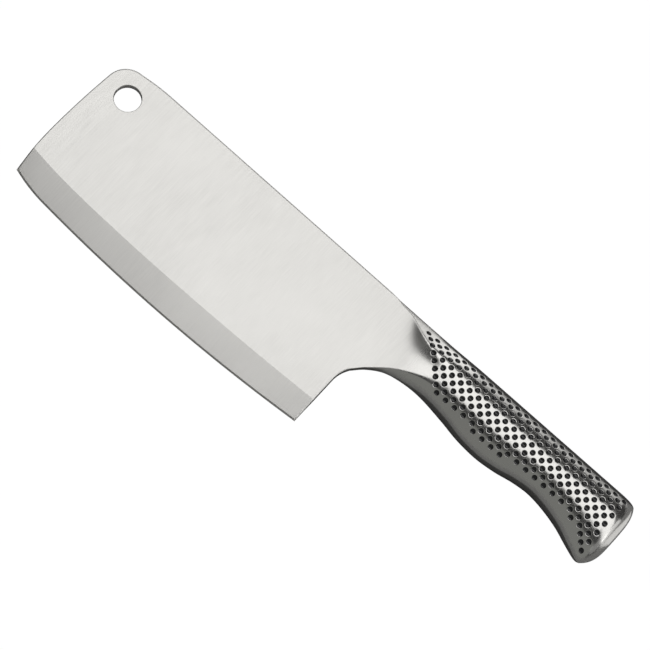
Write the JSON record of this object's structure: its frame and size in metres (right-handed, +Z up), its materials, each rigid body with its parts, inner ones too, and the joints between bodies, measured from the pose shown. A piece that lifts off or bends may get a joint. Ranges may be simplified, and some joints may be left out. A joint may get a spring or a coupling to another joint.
{
  "type": "meat cleaver",
  "caption": "One-piece steel meat cleaver with a broad rectangular blade, a hanging hole and a hollow dimpled steel handle, lying flat on its right cheek.",
  "frame": {"origin": "centre of the bounding box in X and Y, on the table that the cleaver lies on", "axes": "+X from the tip to the butt of the handle, +Y from the cutting edge to the spine, +Z up out of the left cheek; the knife lies nose-down by 2.6 degrees, touching at the tip and at the handle"},
  "size_m": [0.2936, 0.0746, 0.0257],
  "materials": {
    "blade_steel": "fine satin brushed across the blade",
    "handle_steel": "satin polished",
    "weld_steel": "ground flush, satin",
    "black_enamel": "black baked enamel, semi-gloss",
    "sand": "loose dry sand, packed as one plain solid"
  },
  "bodies": {
    "root": {"blade": "blade_steel", "handle_shell_left": "handle_steel", "handle_shell_right": "handle_steel", "spine_seam_weld": "weld_steel", "belly_seam_weld": "weld_steel", "neck_weld": "weld_steel", "fill_plug": "weld_steel", "dimple_enamel_left": "black_enamel", "dimple_enamel_right": "black_enamel", "balance_sand": "sand"}
  },
  "joints": []
}
